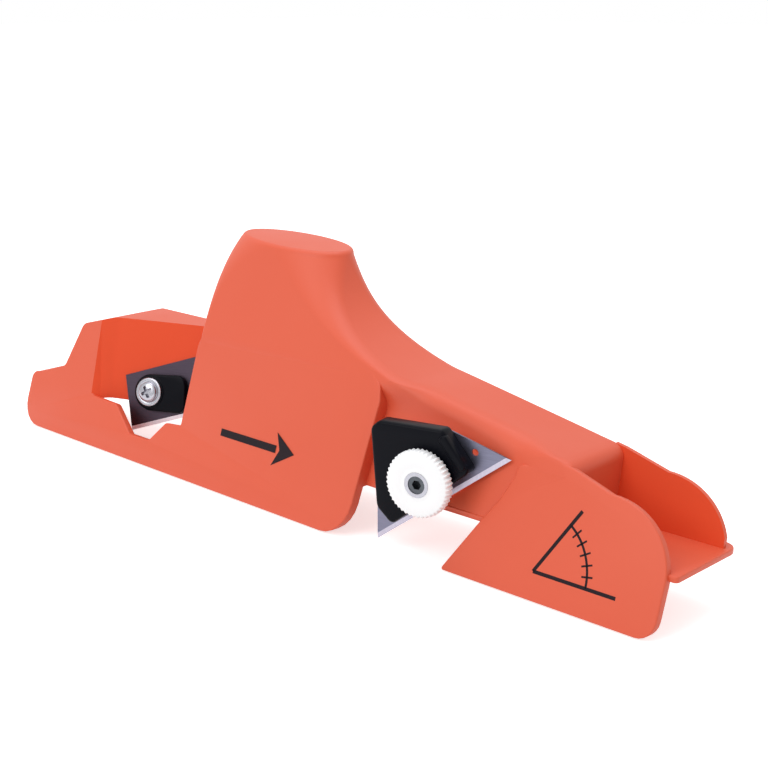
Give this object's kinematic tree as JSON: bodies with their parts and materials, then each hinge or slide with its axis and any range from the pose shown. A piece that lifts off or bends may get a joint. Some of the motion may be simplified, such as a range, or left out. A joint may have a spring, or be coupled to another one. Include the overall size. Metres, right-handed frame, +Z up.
{
  "type": "hand plane",
  "caption": "Hand plane for bevelling the edges of plasterboard, with a moulded palm handle, a leaning side fence and two clamped blades.",
  "frame": {"origin": "on the underside of the sole, under the middle of the body's length", "axes": "+X forward along the cut, +Y from the fence across the board, +Z up, away from the board"},
  "size_m": [0.3307, 0.0621, 0.093],
  "materials": {
    "moulding": "orange moulded plastic, satin",
    "clamp_black": "black moulded plastic, satin",
    "knob_white": "white moulded plastic",
    "blade_steel": "ground blade steel",
    "zinc": "bright zinc plate",
    "brass": "turned brass"
  },
  "bodies": {
    "plane": {"body": "moulding", "sole_cover": "moulding", "cover_screws": "zinc", "steep_blade": "blade_steel", "steep_bolt": "zinc", "low_blade": "blade_steel", "low_insert": "brass"},
    "steep_clamp": {"steep_clamp": "clamp_black", "knob_washer": "zinc"},
    "thumb_nut": {"thumb_nut": "knob_white", "thumb_nut_bush": "zinc"},
    "low_clamp": {"low_clamp": "clamp_black"},
    "low_screw": {"low_screw": "zinc"}
  },
  "joints": [
    {"name": "steep_clamp_lift", "type": "slide", "parent": "plane", "child": "steep_clamp", "axis": [0.2436, -0.9699, 0], "range_m": [0, 0.003]},
    {"name": "thumb_nut_spin", "type": "hinge", "parent": "steep_clamp", "child": "thumb_nut", "pos_m": [0.0722, -0.01789, 0.01191], "axis": [0.2436, -0.9699, 0], "range_deg": [0, 1080]},
    {"name": "low_clamp_lift", "type": "slide", "parent": "plane", "child": "low_clamp", "axis": [0.3319, -0.9118, 0.2419], "range_m": [0, 0.0024]},
    {"name": "low_screw_spin", "type": "hinge", "parent": "low_clamp", "child": "low_screw", "pos_m": [-0.09658, -0.00287, 0.0048], "axis": [0.3319, -0.9118, 0.2419], "range_deg": [0, 1080]}
  ],
  "couplings": [
    {"joint": "thumb_nut_spin", "follows": "steep_clamp_lift", "rad_per_m": 6283.2},
    {"joint": "low_screw_spin", "follows": "low_clamp_lift", "rad_per_m": 7854}
  ]
}
